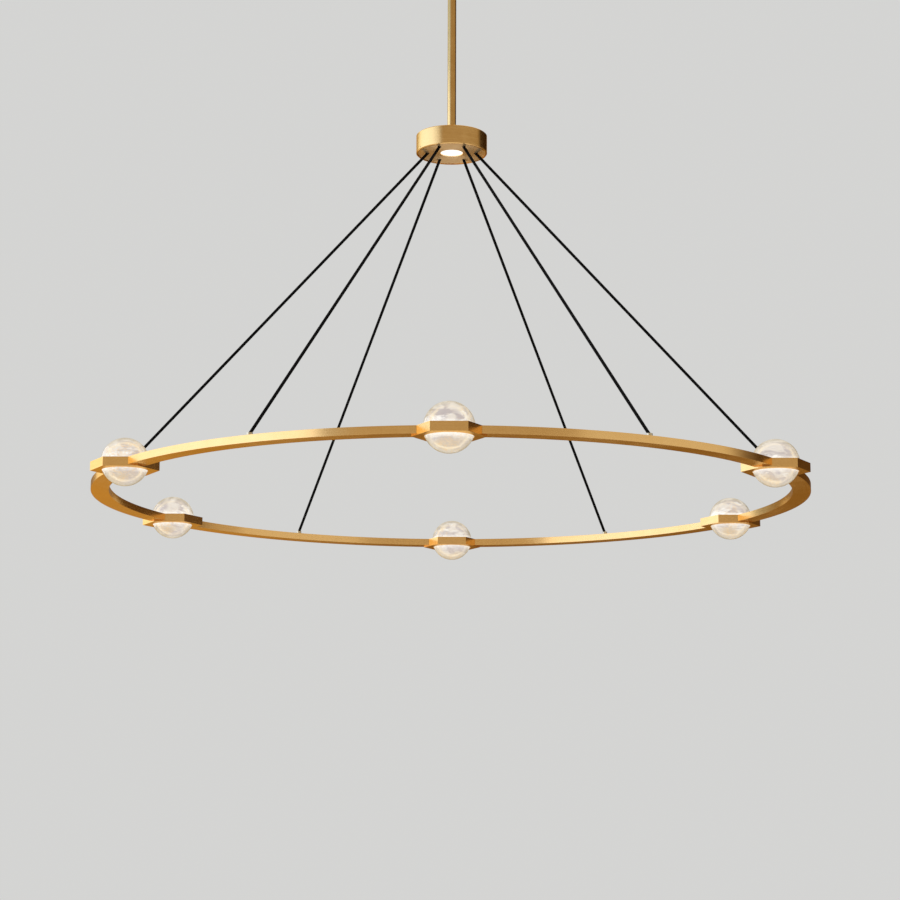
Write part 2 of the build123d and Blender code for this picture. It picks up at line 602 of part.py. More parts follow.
terminal_top_z = heatsink_top_z + TERMINAL_HEIGHT
with BuildPart() as terminal_block:
    with BuildSketch(Plane.XY.offset(heatsink_top_z)):
        Rectangle(TERMINAL_LENGTH, TERMINAL_WIDTH)
    extrude(amount=TERMINAL_HEIGHT)
    with BuildSketch(Plane.XY.offset(terminal_top_z)):
        with GridLocations(
            TERMINAL_POLE_PITCH, TERMINAL_POLE_PITCH, TERMINAL_POLE_COLUMNS, TERMINAL_POLE_ROWS
        ):
            Circle(TERMINAL_POLE_DIAMETER / 2)
    extrude(amount=-TERMINAL_POLE_DEPTH, mode=Mode.SUBTRACT)
save(terminal_block, "terminal_block")

with BuildPart() as stem_lead:
    with BuildSketch(Plane.XY.offset(terminal_top_z)):
        Circle(STEM_LEAD_DIAMETER / 2)
    extrude(amount=pivot_z - terminal_top_z)
save(stem_lead, "stem_lead")


# ==== cables and what holds their ends, made at azimuth 0 ====

with BuildPart() as cable:
    with BuildSketch(cable_plane(cable_start)):
        Circle(cable_radius)
    extrude(amount=cable_run - cable_start)
save_each(cable, first_cable_angle, "cable")

with BuildPart() as cable_stop:
    with BuildSketch(cable_plane(cable_start)):
        Circle(CABLE_STOP_DIAMETER / 2)
        Circle(cable_radius + CABLE_FIT, mode=Mode.SUBTRACT)
    extrude(amount=CABLE_STOP_LENGTH)
save(all_round(cable_stop, first_cable_angle), "cable_stops")

with BuildPart() as ring_anchor:
    with BuildSketch(level_plane(bar_top_z)):
        Circle(ANCHOR_CAP_DIAMETER / 2)
    extrude(amount=ANCHOR_CAP_HEIGHT)
    with BuildSketch(level_plane(bar_top_z)):
        Circle(ANCHOR_STUD_DIAMETER / 2)
    extrude(amount=-ANCHOR_STUD_LENGTH)
    # seat for the cable's end, open towards the hub
    with BuildSketch(cable_plane(cable_run)):
        Circle(cable_radius + CABLE_FIT)
    extrude(amount=-(ANCHOR_CAP_DIAMETER + ANCHOR_CAP_HEIGHT), mode=Mode.SUBTRACT)
save(all_round(ring_anchor, first_cable_angle), "ring_anchors")

with BuildPart() as anchor_nut:
    with BuildSketch(level_plane(bar_top_z - BAR_WALL)):
        RegularPolygon(ANCHOR_NUT_ACROSS_FLATS / 2, HEX_SIDES, major_radius=False)
        Circle(ANCHOR_STUD_DIAMETER / 2 + SCREW_FIT, mode=Mode.SUBTRACT)
    extrude(amount=-ANCHOR_NUT_HEIGHT)
save(all_round(anchor_nut, first_cable_angle), "anchor_nuts")


# ==== ring: hollow bars from orb to orb, made from azimuth 0 on ====

with BuildPart() as ring_bar:
    with BuildSketch(bar_section_plane(0)):
        with Locations((bar_radius, 0)):
            Rectangle(BAR_WIDTH, BAR_HEIGHT)
            Rectangle(BAR_WIDTH - 2 * BAR_WALL, BAR_HEIGHT - 2 * BAR_WALL, mode=Mode.SUBTRACT)
    revolve(axis=Axis.Z, revolution_arc=orb_step)
    # both ends are notched to sit on the collars' corners
    for angle in (0, orb_step):
        with BuildSketch(level_plane(ring_z - BAR_HEIGHT, angle)):
            RegularPolygon(collar_flat + CORNER_FIT, HEX_SIDES, major_radius=False, rotation=hex_half_side)
        extrude(amount=2 * BAR_HEIGHT, mode=Mode.SUBTRACT)
    with BuildSketch(level_plane(bar_top_z, orb_step / 2)):
        Circle(ANCHOR_STUD_DIAMETER / 2 + SCREW_FIT)
    extrude(amount=-BAR_HEIGHT / 2, mode=Mode.SUBTRACT)
    for angle in (bar_screw_angle, orb_step - bar_screw_angle):
        with BuildSketch(bar_screw_plane(angle)):
            Circle(BAR_SCREW_DIAMETER / 2 + SCREW_FIT)
        extrude(amount=BAR_HEIGHT / 2, mode=Mode.SUBTRACT)
save_each(ring_bar, FIRST_ORB_ANGLE, "ring_bar")

with BuildPart() as bar_screw_pair:
    for angle in (-bar_screw_angle, bar_screw_angle):
        with BuildSketch(bar_screw_plane(angle)):
            Circle(BAR_SCREW_DIAMETER / 2)
        extrude(amount=BAR_SCREW_LENGTH)
save(all_round(bar_screw_pair, FIRST_ORB_ANGLE), "bar_screws")

with BuildPart() as supply_tape:
    with BuildSketch(bar_section_plane(tenon_angle)):
        with Locations((bar_radius + WIRE_WAY_OFFSET, BAR_WALL - BAR_HEIGHT / 2)):
            Rectangle(SUPPLY_TAPE_WIDTH, SUPPLY_TAPE_THICKNESS, align=(Align.CENTER, Align.MIN))
    revolve(axis=Axis.Z, revolution_arc=orb_step - 2 * tenon_angle)
save(all_round(supply_tape, FIRST_ORB_ANGLE), "supply_tapes")


# ==== collars: hexagonal, with a stepped bore for the orb and a tenon into each bar ====

retaining_ring_z = collar_top_z - RETAINING_RING_HEIGHT
light_ring_z = retaining_ring_z - LIGHT_RING_HEIGHT
gasket_z = light_ring_z - GASKET_HEIGHT


def orb_clear_radius(z):
    """The orb's radius at a level, with the clearance round it."""
    return math.sqrt(orb_radius**2 - (z - orb_z) ** 2) + ORB_CLEARANCE


gasket_outer = orb_clear_radius(light_ring_z) + GASKET_THICKNESS

with BuildPart() as collar:
    with BuildSketch(bar_section_plane(-tenon_angle)):
        with Locations((bar_radius, 0)):
            Rectangle(BAR_WIDTH - 2 * BAR_WALL - 2 * TENON_FIT, BAR_HEIGHT - 2 * BAR_WALL - 2 * TENON_FIT)
    revolve(axis=Axis.Z, revolution_arc=2 * tenon_angle)
    with BuildSketch(level_plane(collar_bottom_z)):
        RegularPolygon(collar_flat, HEX_SIDES, major_radius=False, rotation=hex_half_side)
    extrude(amount=COLLAR_HEIGHT)
    # bore for the retaining ring and the light ring, then the gasket's seat, then the lip
    with BuildSketch(level_plane(light_ring_z)):
        Circle(collar_bore)
    extrude(amount=COLLAR_HEIGHT, mode=Mode.SUBTRACT)
    with BuildSketch(level_plane(gasket_z)):
        Circle(gasket_outer + RING_FIT)
    extrude(amount=COLLAR_HEIGHT, mode=Mode.SUBTRACT)
    with BuildSketch(level_plane(collar_bottom_z)):
        Circle(orb_clear_radius(gasket_z))
    extrude(amount=COLLAR_HEIGHT, mode=Mode.SUBTRACT)
    # wire way from tip to tip of the tenons
    with BuildSketch(bar_section_plane(-tenon_angle)):
        with Locations((bar_radius + WIRE_WAY_OFFSET, 0)):
            Circle(WIRE_WAY_DIAMETER / 2)
    revolve(axis=Axis.Z, revolution_arc=2 * tenon_angle, mode=Mode.SUBTRACT)
    for angle in (-bar_screw_angle, bar_screw_angle):
        with BuildSketch(bar_screw_plane(angle)):
            Circle(BAR_SCREW_DIAMETER / 2 + SCREW_FIT)
        extrude(amount=BAR_SCREW_LENGTH + SCREW_FIT, mode=Mode.SUBTRACT)
save_each(collar, FIRST_ORB_ANGLE, "collar")

with BuildPart() as orb_gasket:
    with BuildSketch(Plane(origin=(bar_radius, 0, ring_z), x_dir=(1, 0, 0), z_dir=(0, -1, 0))):
        Polygon(
            (orb_clear_radius(gasket_z), gasket_z - ring_z),
            (gasket_outer, gasket_z - ring_z),
            (gasket_outer, light_ring_z - ring_z),
            (orb_clear_radius(light_ring_z), light_ring_z - ring_z),
            align=None,
        )
    revolve(axis=Axis((bar_radius, 0, ring_z), (0, 0, 1)), revolution_arc=360)
save(all_round(orb_gasket, FIRST_ORB_ANGLE), "orb_gaskets")

with BuildPart() as light_ring:
    with BuildSketch(level_plane(light_ring_z)):
        Circle(light_ring_outer)
        Circle(light_ring_inner, mode=Mode.SUBTRACT)
    extrude(amount=LIGHT_RING_HEIGHT)
save(all_round(light_ring, FIRST_ORB_ANGLE), "light_rings")

with BuildPart() as retaining_ring:
    with BuildSketch(level_plane(retaining_ring_z)):
        Circle(light_ring_outer)
        Circle(light_ring_inner, mode=Mode.SUBTRACT)
    extrude(amount=RETAINING_RING_HEIGHT)
save(all_round(retaining_ring, FIRST_ORB_ANGLE), "retaining_rings")

with BuildPart() as glass_orb:
    with Locations(level_plane(orb_z).location):
        Sphere(orb_radius)
save(all_round(glass_orb, FIRST_ORB_ANGLE), "glass_orbs")

print("levels: pivot", round(pivot_z, 2), "hub underside", round(hub_bottom_z, 2), "ring", round(ring_z, 2))
print("cable: straight run", round(cable_run, 1), "whole", round(cable_run - cable_start, 1))
print("downlight: diameter", round(2 * downlight_radius, 2), "flange", round(2 * flange_radius, 2))
print("collar: across flats", round(2 * collar_flat, 2), "across corners", round(2 * collar_corner, 2))
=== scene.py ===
import math

import bmesh
import bpy
from mathutils import Matrix, Vector


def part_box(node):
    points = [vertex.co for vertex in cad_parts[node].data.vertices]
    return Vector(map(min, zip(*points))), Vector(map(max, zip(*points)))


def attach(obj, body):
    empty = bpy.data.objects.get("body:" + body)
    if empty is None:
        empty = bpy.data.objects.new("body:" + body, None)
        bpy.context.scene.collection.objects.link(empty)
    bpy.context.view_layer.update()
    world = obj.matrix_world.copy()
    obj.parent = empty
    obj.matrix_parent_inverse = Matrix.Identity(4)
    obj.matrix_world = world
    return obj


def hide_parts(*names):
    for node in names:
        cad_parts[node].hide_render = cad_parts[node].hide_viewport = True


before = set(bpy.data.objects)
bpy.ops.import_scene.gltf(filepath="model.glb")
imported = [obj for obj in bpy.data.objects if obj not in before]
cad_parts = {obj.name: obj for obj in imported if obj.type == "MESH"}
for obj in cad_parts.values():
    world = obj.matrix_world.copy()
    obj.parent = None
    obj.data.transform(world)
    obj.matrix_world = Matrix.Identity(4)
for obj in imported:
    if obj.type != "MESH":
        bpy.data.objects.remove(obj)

# Ring chandelier: six solid glass orbs in a brass ring, hung by six cables from a lit drum on a
# rod. Metres, +Z up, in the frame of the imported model.

HANGING = "chandelier_body"
SWIVEL = "swivel_body"
CEILING = "canopy_body"
ORB_COUNT = 6
FIRST_ORB_ANGLE = math.radians(30)
FIRST_CABLE_ANGLE = math.radians(60)
ANGLE_STEP = math.tau / ORB_COUNT

# ---- places and sizes read from the frame ----
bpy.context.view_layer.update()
ring_low, ring_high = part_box("ring_bar_1")
orbs_low, orbs_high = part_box("glass_orbs")
ring_mid_z = (ring_low.z + ring_high.z) / 2
orb_radius = (orbs_high.z - orbs_low.z) / 2
orb_z = (orbs_high.z + orbs_low.z) / 2
bar_circle = orbs_high.y - orb_radius


def around(radius, angle, z):
    return Vector((radius * math.cos(angle), radius * math.sin(angle), z))


def add_object(name, data):
    made = bpy.data.objects.new(name, data)
    bpy.context.scene.collection.objects.link(made)
    return made


def mesh_from(shape, name, material=None):
    """Turns a bmesh into mesh data and frees it."""
    data = bpy.data.meshes.new(name)
    shape.to_mesh(data)
    shape.free()
    if material:
        data.materials.append(material)
    return data


# ==== camera, fitted to the ring, drum, rod and orbs in the photograph ====

LENS_MM = 88.6
SENSOR_MM = 36.0
CAMERA_PLACE = Vector((0.0192, -4.687, ring_mid_z - 0.749))
CAMERA_PITCH = 0.1791          # radians above the horizon
CAMERA_PAN = 0.0045
CAMERA_ROLL = 0.0027
FARTHEST_SEEN = 200            # beyond the floor's edge


def photo_camera():
    data = bpy.data.cameras.new("camera")
    data.lens = LENS_MM
    data.sensor_width = SENSOR_MM
    data.clip_end = FARTHEST_SEEN
    camera = add_object("camera", data)
    camera.matrix_world = (
        Matrix.Translation(CAMERA_PLACE)
        @ Matrix.Rotation(CAMERA_PAN, 4, "Z")
        @ Matrix.Rotation(math.pi / 2 + CAMERA_PITCH, 4, "X")
        @ Matrix.Rotation(CAMERA_ROLL, 4, "Z")
    )
    bpy.context.scene.camera = camera
    bpy.context.scene.view_settings.view_transform = "Standard"


photo_camera()


# ==== shader helpers ====


class Shader:
    """A node tree, with short calls that add a node and link its inputs."""

    def __init__(self, name, owner=None):
        self.owner = owner or bpy.data.materials.new(name)
        self.owner.use_nodes = True
        self.tree = self.owner.node_tree
        self.tree.nodes.clear()

    def node(self, kind, inputs=(), **settings):
        made = self.tree.nodes.new("ShaderNode" + kind)
        for key, value in settings.items():
            setattr(made, key, value)
        for key, value in dict(inputs).items():
            self.feed(made.inputs[key], value)
        return made

    def feed(self, socket, value):
        """Links a socket, or sets a number or an RGB triple."""
        if isinstance(value, bpy.types.NodeSocket):
            self.tree.links.new(value, socket)
        elif socket.type == "RGBA":
            socket.default_value = (*value, 1.0)
        else:
            socket.default_value = value

    def math(self, operation, *values, clamp=False):
        made = self.node("Math", enumerate(values), operation=operation, use_clamp=clamp)
        return made.outputs[0]

    def object_place(self):
        return self.node("TexCoord").outputs["Object"]

    def split(self, vector):
        made = self.node("SeparateXYZ", {"Vector": vector})
        return made.outputs["X"], made.outputs["Y"], made.outputs["Z"]

    def join(self, x, y, z):
        return self.node("CombineXYZ", {"X": x, "Y": y, "Z": z}).outputs[0]

    def level_reach(self, x, y):
        """Distance from the Z axis."""
        squares = self.math("ADD", self.math("MULTIPLY", x, x), self.math("MULTIPLY", y, y))
        return self.math("SQRT", squares)

    def noise(self, vector, scale, detail=2.0, roughness=0.5, distortion=0.0):
        inputs = {"Vector": vector, "Scale": scale, "Detail": detail, "Roughness": roughness}
        return self.node("TexNoise", {**inputs, "Distortion": distortion}).outputs["Fac"]

    def stretch(self, value, low, high, to_low=0.0, to_high=1.0):
        """value from low..high to to_low..to_high, held at the ends."""
        inputs = {"Value": value, "From Min": low, "From Max": high}
        made = self.node("MapRange", {**inputs, "To Min": to_low, "To Max": to_high})
        return made.outputs["Result"]

    def vary(self, noise, to_low=0.0, to_high=1.0):
        """A noise's usual span, 0.3 to 0.7, to to_low..to_high."""
        return self.stretch(noise, 0.3, 0.7, to_low, to_high)

    def blend(self, factor, first, second):
        """Colour mix of two sockets or RGB triples."""
        made = self.node("Mix", data_type="RGBA")
        colours = [s for s in made.inputs if s.type == "RGBA"]
        self.feed(made.inputs[0], factor)
        for socket, colour in zip(colours, (first, second)):
            self.feed(socket, colour)
        return [s for s in made.outputs if s.type == "RGBA"][0]

    def bump(self, height, strength, distance):
        inputs = {"Height": height, "Strength": strength, "Distance": distance}
        return self.node("Bump", inputs).outputs["Normal"]

    def principled(self, **inputs):
        """Ends the material in a Principled shader; input names have _ for spaces."""
        named = {key.replace("_", " "): value for key, value in inputs.items()}
        surface = self.node("BsdfPrincipled", named)
        end = self.node("OutputMaterial", {"Surface": surface.outputs["BSDF"]})
        end.is_active_output = True
        return self.owner


# ==== brass ====

BRASS_PALE = (0.870, 0.595, 0.280)
BRASS_DEEP = (0.740, 0.470, 0.190)
BRASS_GRAZING = (0.98, 0.74, 0.40)
# the drum plate's brass, made paler than brass so that it paints in a reflection of the floor
PLATE_PALE_AND_REFLECTION = (0.95, 0.74, 0.47)
PLATE_DEEP_AND_REFLECTION = (0.88, 0.64, 0.37)
BRUSH_LINES = 420.0            # per metre across the brushing
LINE_RUNS = 12.0               # per metre along it
CLOUD_SCALE = 26.0             # broad changes of tone
FLECK_SCALE = 210.0
BRUSH_BUMP = 0.04, 0.0002      # strength, height in metres
LACQUER = 0.06
LACQUER_ROUGHNESS = 0.2


def brush_vector(s, place, lines):
    """The place, drawn out along the way that the brushing runs."""
    x, y, z = s.split(place)
    if lines == "round":
        radius = s.level_reach(x, y)
        arc = s.math("MULTIPLY", s.math("ARCTAN2", y, x), radius)
        scales = (radius, BRUSH_LINES), (z, BRUSH_LINES), (arc, LINE_RUNS)
    elif lines == "upright":
        scales = (x, BRUSH_LINES), (y, BRUSH_LINES), (z, LINE_RUNS)
    else:
        scales = (x, LINE_RUNS), (y, LINE_RUNS), (z, BRUSH_LINES)
    return s.join(*(s.math("MULTIPLY", value, scale) for value, scale in scales))


def brass(
    name, lines, roughness=0.21, drawn=0.6, pale=BRASS_PALE, deep=BRASS_DEEP, metallic=1.0
):
    """Brushed, lacquered brass, its lines round the axis, upright or level."""
    s = Shader(name)
    place = s.object_place()
    hairline = s.noise(brush_vector(s, place, lines), 1.0, detail=4.0, roughness=0.6)
    cloud = s.noise(place, CLOUD_SCALE, detail=4.0, roughness=0.6)
    fleck = s.noise(place, FLECK_SCALE, detail=3.0, roughness=0.55)
    tone = s.math("ADD", s.vary(cloud, 0.35, 0.75), s.vary(hairline, -0.2, 0.2))
    tone = s.math("ADD", tone, s.stretch(fleck, 0.35, 0.7, 0.06, -0.08), clamp=True)
    drawn_rough = s.vary(hairline, roughness - 0.03, roughness + 0.03)
    return s.principled(
        Base_Color=s.blend(tone, deep, pale),
        Metallic=metallic,
        Roughness=s.math("ADD", drawn_rough, s.vary(cloud, -0.02, 0.03)),
        Specular_Tint=BRASS_GRAZING,
        Anisotropic=drawn,
        Anisotropic_Rotation=0.0 if lines == "upright" else 0.25,
        Tangent=s.node("Tangent", direction_type="RADIAL", axis="Z").outputs[0],
        Normal=s.bump(hairline, *BRUSH_BUMP),
        Coat_Weight=LACQUER,
        Coat_Roughness=LACQUER_ROUGHNESS,
    )


brass_round = brass("brass_round", "round")
brass_upright = brass("brass_upright", "upright")
brass_level = brass("brass_level", "level")
# the drum plate: turned brass, its pale colour and lower metallic a painted reflection of the
# floor
brass_turned = brass(
    "brass_turned",
    "round",
    roughness=0.36,
    drawn=0.85,
    pale=PLATE_PALE_AND_REFLECTION,
    deep=PLATE_DEEP_AND_REFLECTION,
    metallic=0.82,
)


# ==== plain finishes and lit surfaces ====

GRAIN_BUMP_HEIGHT = 0.0002
BROADER = 12                   # times the fine noise's size
LIT_ROUGHNESS = 0.45
LIT_MOTTLE = 120.0


def plain_finish(name, light, dark, roughness, metallic=0.0, grain=300.0, bump=0.1, **more):
    """A small, fine-grained variation of one colour, for moulded, plated and rubber pieces."""
    s = Shader(name)
    place = s.object_place()
    fine = s.noise(place, grain, detail=3.0)
    broad = s.noise(place, grain / BROADER, detail=2.0)
    mixed = s.math("MULTIPLY", s.math("ADD", fine, broad), 0.5)
    return s.principled(
        Base_Color=s.blend(s.stretch(mixed, 0.35, 0.65), dark, light),
        Metallic=metallic,
        Roughness=s.vary(fine, roughness - 0.05, roughness + 0.05),
        Normal=s.bump(fine, bump, GRAIN_BUMP_HEIGHT),
        **more,
    )


def lit(name, colour, edge, strength):
    """A faintly uneven surface that gives light."""
    s = Shader(name)
    mottle = s.noise(s.object_place(), LIT_MOTTLE, detail=2.0)
    shade = s.blend(s.vary(mottle), edge, colour)
    return s.principled(
        Base_Color=shade,
        Roughness=LIT_ROUGHNESS,
        Emission_Color=shade,
        Emission_Strength=strength,
    )


satin_nickel = plain_finish(
    "satin_nickel", (0.66, 0.60, 0.48), (0.55, 0.50, 0.40), 0.35, metallic=1.0
)
zinc = plain_finish("zinc", (0.66, 0.66, 0.65), (0.50, 0.50, 0.50), 0.32, metallic=1.0)
yellow_zinc = plain_finish(
    "yellow_zinc", (0.62, 0.44, 0.22), (0.50, 0.34, 0.15), 0.34, metallic=1.0
)
green_screw = plain_finish(
    "green_screw", (0.10, 0.42, 0.17), (0.05, 0.30, 0.10), 0.35, metallic=0.6
)
foam = plain_finish(
    "foam", (0.05, 0.05, 0.052), (0.02, 0.02, 0.021), 0.9, grain=900.0, bump=0.5
)
driver_plastic = plain_finish(
    "driver_plastic", (0.74, 0.74, 0.72), (0.68, 0.68, 0.66), 0.5, grain=1400.0
)
board = plain_finish("board", (0.86, 0.84, 0.76), (0.78, 0.75, 0.66), 0.45)
cast_aluminium = plain_finish(
    "cast_aluminium", (0.72, 0.73, 0.74), (0.60, 0.61, 0.62), 0.45, metallic=1.0
)
terminal_plastic = plain_finish(
    "terminal_plastic", (0.80, 0.79, 0.73), (0.74, 0.73, 0.67), 0.4
)
lead_sleeve = plain_finish("lead_sleeve", (0.70, 0.69, 0.66), (0.62, 0.61, 0.58), 0.5)
silicone = plain_finish(
    "silicone", (0.86, 0.85, 0.82), (0.78, 0.77, 0.74), 0.35, Subsurface_Weight=0.3
)
led_strip = lit("led_strip", (1.0, 0.93, 0.80), (1.0, 0.86, 0.66), 4.0)
opal_disc = lit("opal_disc", (1.0, 0.965, 0.90), (1.0, 0.95, 0.87), 0.85)


# ==== woven cable sleeve ====

WEAVE_ALONG = 1640.0           # radians from end to end: a diamond is 2 mm long
WEAVE_AROUND = math.tau * 6    # radians once round: 12 diamonds
# the weave's hollows take the darker colour below and its crests the lighter one: a painted
# shade in the hollows
SLEEVE_LOW = (0.0010, 0.0010, 0.0012)
SLEEVE_HIGH = (0.0045, 0.0045, 0.005)


def braided_sleeve():
    """Black woven sleeve, its diamonds from the curve's own length and turn."""
    s = Shader("black_sleeve")
    u, v, _ = s.split(s.node("TexCoord").outputs["UV"])
    along = s.math("MULTIPLY", u, WEAVE_ALONG)
    turn = s.math("MULTIPLY", v, WEAVE_AROUND)
    one_way = s.math("SINE", s.math("ADD", along, turn))
    other_way = s.math("SINE", s.math("SUBTRACT", along, turn))
    lift = s.stretch(s.math("MULTIPLY", one_way, other_way), -1.0, 1.0)
    return s.principled(
        Base_Color=s.blend(lift, SLEEVE_LOW, SLEEVE_HIGH),
        Roughness=s.stretch(lift, 0.0, 1.0, 0.9, 0.7),
        Normal=s.bump(lift, 0.5, 0.0003),
        Specular_IOR_Level=0.08,
    )


cable_black = braided_sleeve()


# ==== orb: clear glass over a cloudy, lit heart ====

GLASS_WARM = (0.99, 0.975, 0.945)
GLASS_CLEAR = (1.0, 0.995, 0.985)


def clear_glass():
    s = Shader("orb_glass")
    ripple = s.noise(s.object_place(), 30.0, detail=2.0)
    return s.principled(
        Base_Color=s.blend(s.vary(ripple), GLASS_WARM, GLASS_CLEAR),
        Roughness=s.vary(ripple, 0.0, 0.02),
        IOR=1.5,
        Transmission_Weight=1.0,
        Normal=s.bump(ripple, 0.04, 0.001),
    )


orb_glass = clear_glass()

WHITE_HOT = (1.0, 0.975, 0.93)
# cream of the painted reflection in an arc just inside the orb's outline
ARC_REFLECTION_CREAM = (1.0, 0.87, 0.64)
PEARL = (0.80, 0.74, 0.67)
LAVENDER = (0.53, 0.475, 0.475)
# colours of the painted reflection at the orb's rim
RIM_REFLECTION_CREAM = (0.50, 0.43, 0.30)
RIM_REFLECTION_PEARL = (0.72, 0.66, 0.55)
TAN = (0.62, 0.48, 0.31)
GOLD_FLECK = (0.86, 0.56, 0.24)
UNLIT = (0.02, 0.02, 0.02)
CLOUD_SEED = Vector((3.1, 1.7, 5.3))       # times the orb's number, so that no two are alike
# heights as shares of the orb's radius, and how far the surface turns from the eye, 0 to 1
GLOW_TOP = 0.02, 0.20
GLOW_FOOT = -0.50, -0.28
TAN_FOOT = -0.40, -0.66
# where the painted reflections lie: an arc inside the outline, and the rim
REFLECTION_ARC_PLACE = 0.150, 0.200
REFLECTION_ARC_HALF_WIDTH = 0.04
RIM_REFLECTION_FACING = 0.185, 0.27


def cloud_layers(s, index):
    """The height in the orb, and four noises that run through it in flat drifts."""
    seed = CLOUD_SEED * index
    inputs = {0: s.object_place(), "Scale": 1 / orb_radius}
    unit = s.node("VectorMath", inputs, operation="SCALE").outputs[0]
    x, y, z = s.split(unit)

    def layer(across, upright, detail, distortion, shift):
        vector = s.join(
            s.math("MULTIPLY_ADD", x, across, seed.x + shift),
            s.math("MULTIPLY_ADD", y, across, seed.y + shift),
            s.math("MULTIPLY_ADD", z, upright, seed.z),
        )
        return s.noise(vector, 1.0, detail=detail, roughness=0.5, distortion=distortion)

    patches = layer(1.6, 3.0, 1.5, 0.7, 0.0)
    drifts = layer(1.3, 4.0, 2.0, 1.2, 4.0)
    veins = layer(2.6, 4.2, 2.0, 2.2, 9.0)
    side = layer(0.7, 0.7, 1.0, 0.0, 13.0)
    return z, patches, drifts, veins, side


def lit_cloud(index):
    """A painted glow: white where its collar lights it, lilac grey and pearl beyond, with a
    painted cream reflection at the rim.
    """
    s = Shader(f"orb_cloud_{index}")
    z, patches, drifts, veins, side = cloud_layers(s, index)
    turned_away = s.node("LayerWeight", {"Blend": 0.5}).outputs["Facing"]

    height = s.math("ADD", z, s.vary(drifts, -0.05, 0.05))
    above = s.stretch(height, *GLOW_TOP, 1.0, 0.0)
    below = s.stretch(height, *GLOW_FOOT, 0.0, 1.0)
    glow = s.math("MULTIPLY", above, below)

    # clouds, with white drifts and a tan foot on one side
    colour = s.blend(s.stretch(patches, 0.43, 0.57), LAVENDER, PEARL)
    colour = s.blend(s.stretch(drifts, 0.42, 0.32, 0.0, 0.8), colour, WHITE_HOT)
    foot = s.math("MULTIPLY", s.stretch(z, *TAN_FOOT), s.stretch(side, 0.42, 0.56, 0.1, 0.8))
    colour = s.blend(foot, colour, TAN)

    # painted reflections: a cream arc just inside the outline, and the darker rim outside it
    arc = s.math("SUBTRACT", turned_away, s.vary(drifts, *REFLECTION_ARC_PLACE))
    arc = s.stretch(s.math("ABSOLUTE", arc), 0.0, REFLECTION_ARC_HALF_WIDTH, 1.0, 0.0)
    arc = s.math("MULTIPLY", arc, s.stretch(side, 0.40, 0.58, 0.35, 1.0))
    colour = s.blend(arc, colour, ARC_REFLECTION_CREAM)
    rim_reflection = s.blend(s.stretch(patches, 0.4, 0.6), RIM_REFLECTION_CREAM, RIM_REFLECTION_PEARL)
    colour = s.blend(s.stretch(turned_away, *RIM_REFLECTION_FACING, 0.0, 0.9), colour, rim_reflection)

    # the lit band, and thin gold veins
    band = s.math("MULTIPLY", glow, s.stretch(patches, 0.35, 0.55, 0.7, 1.0))
    colour = s.blend(band, colour, WHITE_HOT)
    vein = s.math("ABSOLUTE", s.math("SUBTRACT", veins, 0.5))
    vein = s.stretch(vein, 0.01, 0.07, 1.0, 0.0)
    vein = s.math("MULTIPLY", vein, s.stretch(side, 0.46, 0.58, 0.05, 0.5))
    colour = s.blend(vein, colour, GOLD_FLECK)
    return s.principled(
        Base_Color=s.blend(0.85, colour, UNLIT),
        Roughness=0.5,
        Emission_Color=colour,
        Emission_Strength=s.stretch(glow, 0.0, 1.0, 0.90, 1.08),
        Alpha=s.stretch(patches, 0.35, 0.65, 0.85, 1.0),
    )


# ==== brass and nickel pieces, with their edges eased ====

SHARP_EDGE = math.radians(28)
FLAT_ENOUGH = math.radians(0.4)
SAME_POINT = 2e-6
FAINT_EASE = 0.0002
SMALL_EASE = 0.0003
BAR_EASE = 0.0004
COLLAR_EASE = 0.0007


def refined(node, name, material, body, slot_name, ease):
    """A copy of a CAD node with its edges eased, which stands for the node."""
    shape = bmesh.new()
    shape.from_mesh(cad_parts[node].data)
    bmesh.ops.remove_doubles(shape, verts=shape.verts, dist=SAME_POINT)
    bmesh.ops.dissolve_limit(
        shape, angle_limit=FLAT_ENOUGH, verts=shape.verts, edges=shape.edges, delimit=set()
    )
    inner = [edge for edge in shape.edges if len(edge.link_faces) == 2]
    bmesh.ops.bevel(
        shape,
        geom=[edge for edge in inner if edge.calc_face_angle(0.0) > SHARP_EDGE],
        offset=ease,
        segments=2,
        profile=0.6,
        affect="EDGES",
        clamp_overlap=True,
    )
    for face in shape.faces:
        face.smooth = True
    piece = add_object(name, mesh_from(shape, name, material))
    weighted = piece.modifiers.new("even_normals", "WEIGHTED_NORMAL")
    weighted.keep_sharp = True
    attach(piece, body)
    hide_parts(node)


for number in range(1, ORB_COUNT + 1):
    bar, collar = f"ring_bar_{number}", f"collar_{number}"
    refined(bar, f"brass_bar_{number}", brass_round, HANGING, "brass", BAR_EASE)
    refined(collar, f"hex_collar_{number}", brass_level, HANGING, "brass", COLLAR_EASE)

SINGLE_PIECES = (
    ("hub_housing", "drum", brass_round, HANGING, "brass", FAINT_EASE),
    ("hub_plate", "drum_plate", brass_turned, HANGING, "brass", FAINT_EASE),
    ("ring_anchors", "ferrules", satin_nickel, HANGING, "nickel", SMALL_EASE),
    ("lower_rod", "rod_low", brass_upright, HANGING, "brass", FAINT_EASE),
    ("upper_rod", "rod_high", brass_upright, HANGING, "brass", FAINT_EASE),
    ("swivel_tongue", "knuckle_tongue", brass_level, HANGING, "brass", SMALL_EASE),
    ("swivel_yoke", "knuckle_yoke", brass_level, SWIVEL, "brass", SMALL_EASE),
    ("canopy", "ceiling_cup", brass_round, CEILING, "brass", FAINT_EASE),
    ("canopy_nut", "cup_nut", brass_round, CEILING, "brass", FAINT_EASE),
)
for facts in SINGLE_PIECES:
    refined(*facts)


# ==== CAD nodes that stay, in their scene materials ====

